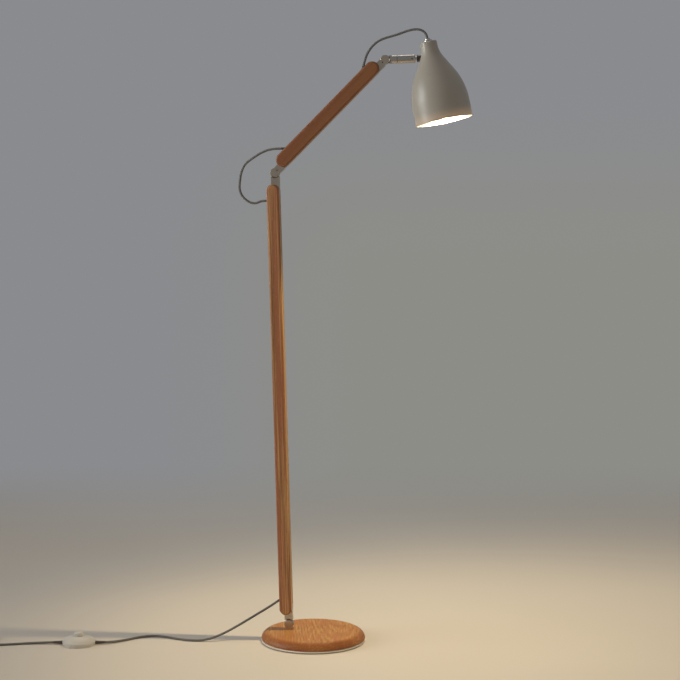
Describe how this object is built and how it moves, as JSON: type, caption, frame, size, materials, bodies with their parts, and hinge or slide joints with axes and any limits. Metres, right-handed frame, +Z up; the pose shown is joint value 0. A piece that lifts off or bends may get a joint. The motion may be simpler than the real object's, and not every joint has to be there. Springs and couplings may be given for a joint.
{
  "type": "adjustable arm floor lamp",
  "caption": "Floor lamp with an oak post and folding oak arm on half-lap metal knuckles, a pale grey bell shade, a round oak base and a foot switch on its textile flex.",
  "frame": {"origin": "centre of the base pad's underside, on the floor", "axes": "+Z up, +X the way the arm reaches, the arms fold in the XZ plane"},
  "size_m": [1.147, 0.291, 1.3347],
  "materials": {
    "oak": "oiled oak, open grain",
    "white_paint": "satin white paint",
    "nickel": "satin nickel plate",
    "steel": "bright zinc",
    "black_steel": "black oxide",
    "strip_grey": "dark grey anodised",
    "shade_grey": "satin pale grey paint",
    "rubber": "matt anti-slip rubber",
    "washer_black": "matt",
    "flex": "braided textile sleeve",
    "holder_black": "satin thermoset",
    "lamp_metal": "bright screw cap",
    "lamp_opal": "opal lamp globe",
    "switch_white": "moulded, slight gloss",
    "switch_inner": "moulded",
    "plug_black": "moulded, satin"
  },
  "bodies": {
    "base": {"base_pad": "rubber", "base_plate": "white_paint", "base_disc": "oak", "base_stem": "nickel", "stem_screw": "steel", "base_pivot_bolt": "steel", "base_friction_washer": "washer_black", "mains_lead": "flex", "mains_tail": "flex", "mains_coil": "flex", "coil_tie": "washer_black", "plug_body": "plug_black", "plug_pins": "steel", "switch_base": "switch_inner", "switch_cover": "switch_white", "switch_module": "switch_inner"},
    "post": {"post_oak": "oak", "post_cover_strip": "strip_grey", "post_foot_fitting": "nickel", "post_head_fitting": "nickel", "post_pins": "steel", "post_flex": "flex", "elbow_loop": "flex"},
    "arm": {"arm_oak": "oak", "arm_cover_strip": "strip_grey", "arm_foot_fitting": "nickel", "arm_head_fitting": "nickel", "arm_pins": "steel", "arm_flex": "flex", "elbow_set_screw": "black_steel", "head_set_screw": "black_steel", "elbow_pivot_bolt": "steel", "elbow_friction_washer": "washer_black", "head_pivot_bolt": "steel", "head_friction_washer": "washer_black", "head_loop_arm": "flex"},
    "bracket": {"head_bracket": "nickel", "head_loop_shade": "flex"},
    "head": {"shade": "shade_grey", "swivel_rod": "nickel", "rod_set_screw": "black_steel", "shade_saddle": "nickel", "inner_saddle": "steel", "stud_nut": "steel", "cord_grip": "nickel", "nipple": "steel", "nipple_nut": "steel", "holder_flex": "flex", "lampholder_cap": "holder_black", "lampholder_body": "holder_black", "lamp_cap": "lamp_metal", "lamp_globe": "lamp_opal"},
    "button": {"switch_button": "switch_white"}
  },
  "joints": [
    {"name": "base_tilt", "type": "hinge", "parent": "base", "child": "post", "pos_m": [-0.0543, 0, 0.036], "axis": [0, 1, 0], "range_deg": [-15, 15], "deforming": ["mains_lead"]},
    {"name": "elbow", "type": "hinge", "parent": "post", "child": "arm", "pos_m": [-0.08205, 0, 1.02961], "axis": [0, 1, 0], "range_deg": [-46, 38], "deforming": ["elbow_loop"]},
    {"name": "head_tilt", "type": "hinge", "parent": "arm", "child": "bracket", "pos_m": [0.15807, 0, 1.2689], "axis": [0, 1, 0], "range_deg": [-43, 40], "deforming": ["head_loop_arm"]},
    {"name": "shade_swivel", "type": "hinge", "parent": "bracket", "child": "head", "pos_m": [0.15807, 0, 1.2689], "axis": [0.9995, 0, 0.0314], "range_deg": [-60, 60], "deforming": ["head_loop_shade"]},
    {"name": "button_press", "type": "slide", "parent": "base", "child": "button", "axis": [0, 0, -1], "range_m": [0, 0.003], "stiffness_N_per_m": 600, "springref_m": -0.002}
  ]
}
